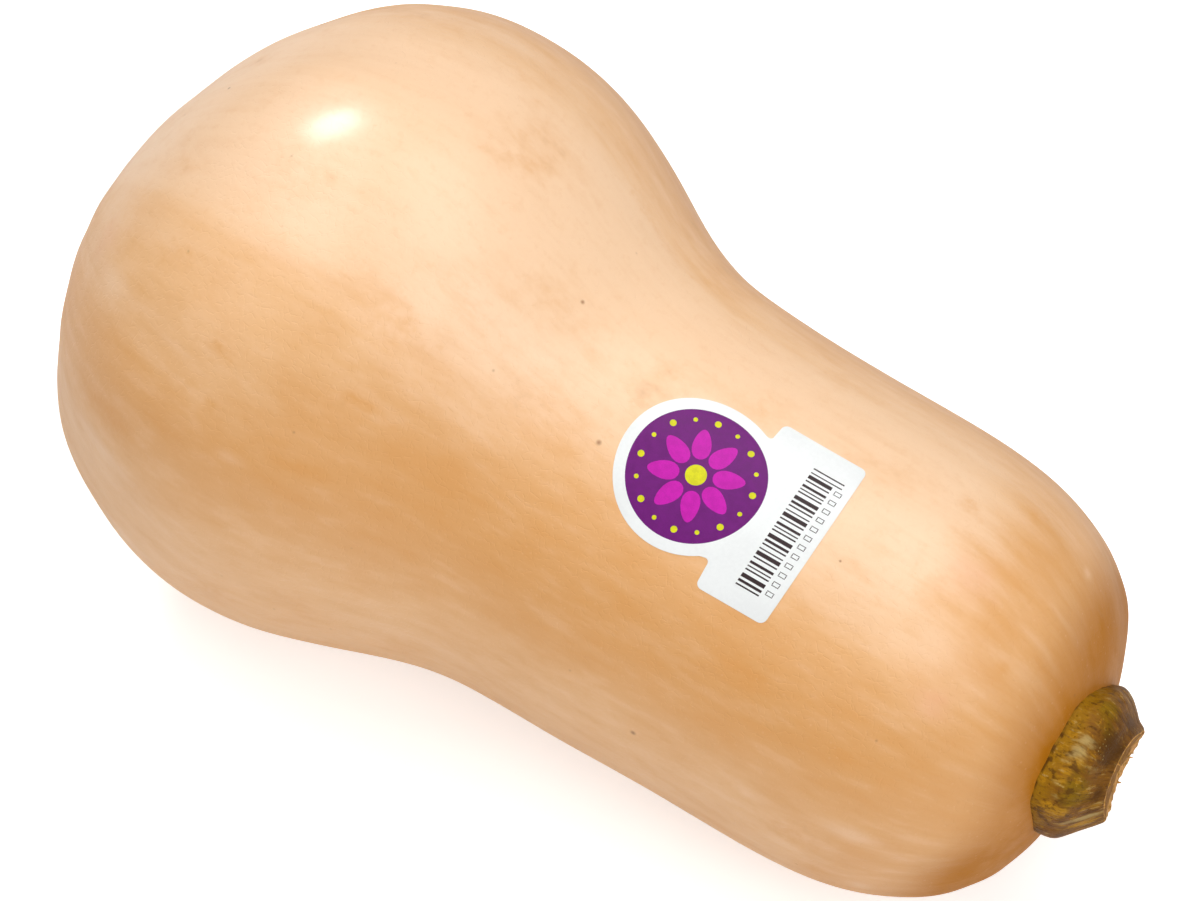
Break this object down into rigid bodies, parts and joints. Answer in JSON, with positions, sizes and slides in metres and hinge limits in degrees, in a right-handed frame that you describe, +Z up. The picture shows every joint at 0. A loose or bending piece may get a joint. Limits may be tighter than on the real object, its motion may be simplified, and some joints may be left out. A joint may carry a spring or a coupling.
{
  "type": "butternut squash",
  "caption": "Whole butternut squash lying on its side, with a round bulb, a thick neck, a cut woody stem and a small paper label.",
  "frame": {"origin": "middle of the footprint, on the ground plane the squash lies on", "axes": "+X along the length toward the stem, +Z up, -Y the side turned to the picture's camera"},
  "size_m": [0.2148, 0.1218, 0.1219],
  "materials": {
    "skin": "smooth waxy fruit skin with a soft sheen",
    "stem_cork": "corky olive-brown stem with a raw cut end",
    "label_paper": "coated white paper"
  },
  "bodies": {
    "root": {"fruit": "skin", "stem": "stem_cork", "label": "label_paper"}
  },
  "joints": []
}
